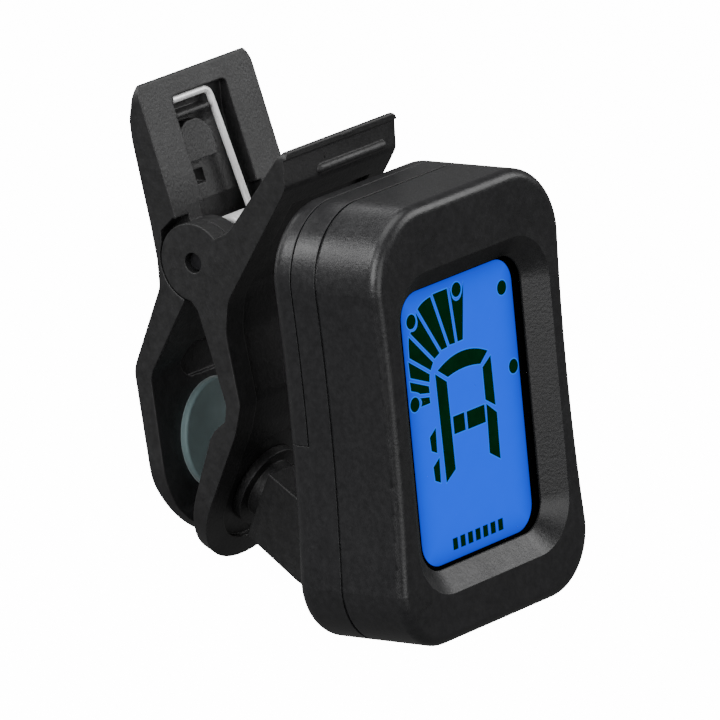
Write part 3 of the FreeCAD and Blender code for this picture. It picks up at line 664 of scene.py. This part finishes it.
def display():
    """The display's artwork, from the printed border up to the dark segments."""
    border = rounded_rectangle(SCREEN_HALF + BORDER, SCREEN_FOOT - BORDER / 2,
                               SCREEN_TOP + BORDER / 2, BORDER_CORNER)
    artwork("lcd_border", [border], BORDER_LAYER, border_black())
    screen = rounded_rectangle(SCREEN_HALF, SCREEN_FOOT, SCREEN_TOP, SCREEN_CORNER)
    artwork("lcd_screen", [screen], SCREEN_LAYER, lit_screen())
    dots = [circle(x, z, DOT_R) for x, z in DOTS]
    segments = wedges() + note_segments() + dots
    artwork("lcd_halo", [grown(s, HALO_WIDTH) for s in segments], HALO_LAYER, halo())
    artwork("lcd_segments", segments, SEGMENT_LAYER, dark_segment())
    artwork("lcd_marks", mode_marks(), SEGMENT_LAYER, dark_segment())


# ---- spring ---------------------------------------------------------------------------------
def from_pivot(x, y, z):
    return PIVOT + Vector((x, y, z)) * MM


def spring():
    """The wound torsion spring: a coil between two legs, each leg held by its own lever."""
    steel = MATERIALS["spring_wire"]
    steps = int(COIL_TURNS * STEPS_PER_TURN)
    start = math.atan2(FRONT_LEG_FOOT[1], FRONT_LEG_FOOT[0])
    coil_path = []
    for i in range(steps + 1):
        turn = start - math.tau * COIL_TURNS * i / steps
        x = -COIL_HALF + 2 * COIL_HALF * i / steps
        coil_path.append(from_pivot(x, COIL_R * math.cos(turn), COIL_R * math.sin(turn)))
    coil = wire("spring_coil", coil_path, WIRE_R * MM)
    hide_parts("torsion_spring")
    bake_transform(coil)

    rear_path = [from_pivot(COIL_HALF, *REAR_LEG_FOOT), from_pivot(REAR_LEG_X, *REAR_LEG_TOP),
                 from_pivot(HOOK_END, *REAR_LEG_TOP)]
    rear_leg = wire("spring_rear_leg", round_corners(rear_path, BEND_R * MM), WIRE_R * MM)
    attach(rear_leg, "rear_clip")

    front_path = [from_pivot(-COIL_HALF, *FRONT_LEG_FOOT), from_pivot(-COIL_HALF, *FRONT_LEG_TOP)]
    front_leg = wire("spring_front_leg", front_path, WIRE_R * MM)
    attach(front_leg, "front_clip")
    for piece in (coil, rear_leg, front_leg):
        piece.data.materials.clear()
        piece.data.materials.append(steel)


# ---- thumb plate marks ----------------------------------------------------------------------
def thumb_plate_marks():
    """A short plain dash in place of the moulded mark, and the flash line beside the grip bar."""
    for name, (x, half, foot, top, y) in PLATE_MARKS.items():
        outline = [(x - half, foot), (x + half, foot), (x + half, top), (x - half, top)]

        def place(across, up, out):
            return from_pivot(across, y - out + MARK_SUNK, up)

        piece = mesh_object(name, lambda bm: add_plate(bm, outline, place, MARK_T))
        piece.data.materials.append(MATERIALS["black_abs"])
        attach(piece, "front_clip")


# ---- stage ----------------------------------------------------------------------------------
def floor():
    """A glowing white floor that neither lights the object nor shows in its reflections."""
    low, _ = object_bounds()
    z = low.z - FLOOR_DROP
    half = FLOOR_HALF

    def make(bm):
        bm.faces.new([bm.verts.new((x, y, z)) for x, y in
                      ((-half, -half), (half, -half), (half, half), (-half, half))])

    piece = mesh_object("floor", make)
    n = Nodes("floor_pale")
    n.finish(n.mixed(n.noise(6, 2.0), (0.93, 0.93, 0.93), (0.95, 0.95, 0.95)),
             n.ranged(n.noise(40, 2.0), 0.85, 0.95))
    n.set(Emission_Color=(1.0, 1.0, 1.0, 1.0), Emission_Strength=FLOOR_GLOW)
    # seen from above only, so that a view from below shows the clip's underside
    from_above = n.add("ShaderNodeMath", operation="SUBTRACT")
    from_above.inputs[0].default_value = 1.0
    n.link(n.add("ShaderNodeNewGeometry").outputs["Backfacing"], from_above.inputs[1])
    n.link(from_above.outputs[0], n.shader.inputs["Alpha"])
    piece.data.materials.append(n.material)
    piece.visible_diffuse = False
    piece.visible_glossy = False
    piece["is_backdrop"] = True


def area_light(name, power, size, place):
    """A square lamp that faces the object."""
    light = bpy.data.lights.new(name, "AREA")
    light.energy = power
    light.shape = "RECTANGLE"
    light.size = size
    light.size_y = size
    lamp = bpy.data.objects.new(name, light)
    bpy.context.scene.collection.objects.link(lamp)
    lamp.location = place
    lamp.rotation_euler = (Vector(LIGHT_AIM) - Vector(place)).to_track_quat("-Z", "Y").to_euler()


def camera_axes():
    """The camera's right, up and forward directions."""
    azimuth, elevation, roll = (math.radians(a) for a in
                                (CAMERA_AZIMUTH, CAMERA_ELEVATION, CAMERA_ROLL))
    forward = Vector((-math.sin(azimuth) * math.cos(elevation),
                      math.cos(azimuth) * math.cos(elevation), -math.sin(elevation)))
    level = forward.cross(Vector((0, 0, 1))).normalized()
    upright = level.cross(forward)
    right = level * math.cos(roll) + upright * math.sin(roll)
    return right, right.cross(forward), forward


def studio():
    """Even white surroundings and the lamps."""
    world = bpy.data.worlds.new("studio")
    world.use_nodes = True
    background = world.node_tree.nodes["Background"]
    background.inputs["Color"].default_value = (1.0, 1.0, 1.0, 1.0)
    background.inputs["Strength"].default_value = WORLD_STRENGTH
    bpy.context.scene.world = world
    for name, (power, size, place) in LIGHTS.items():
        area_light(name, power, size, place)


def camera():
    right, up, forward = camera_axes()
    data = bpy.data.cameras.new("camera")
    data.sensor_width = SENSOR
    data.lens = SENSOR * CAMERA_DISTANCE / PICTURE_WIDTH
    data.clip_start = CLIP_NEAR
    data.clip_end = CLIP_FAR
    eye = bpy.data.objects.new("camera", data)
    bpy.context.scene.collection.objects.link(eye)
    turn = Matrix((right, up, -forward)).transposed()
    eye.matrix_world = turn.to_4x4()
    eye.location = (CAMERA_AIM - forward * CAMERA_DISTANCE + right * CAMERA_SIDE
                    + up * CAMERA_RISE)
    bpy.context.scene.camera = eye


dress_frame()
display()
spring()
thumb_plate_marks()
floor()
studio()
camera()
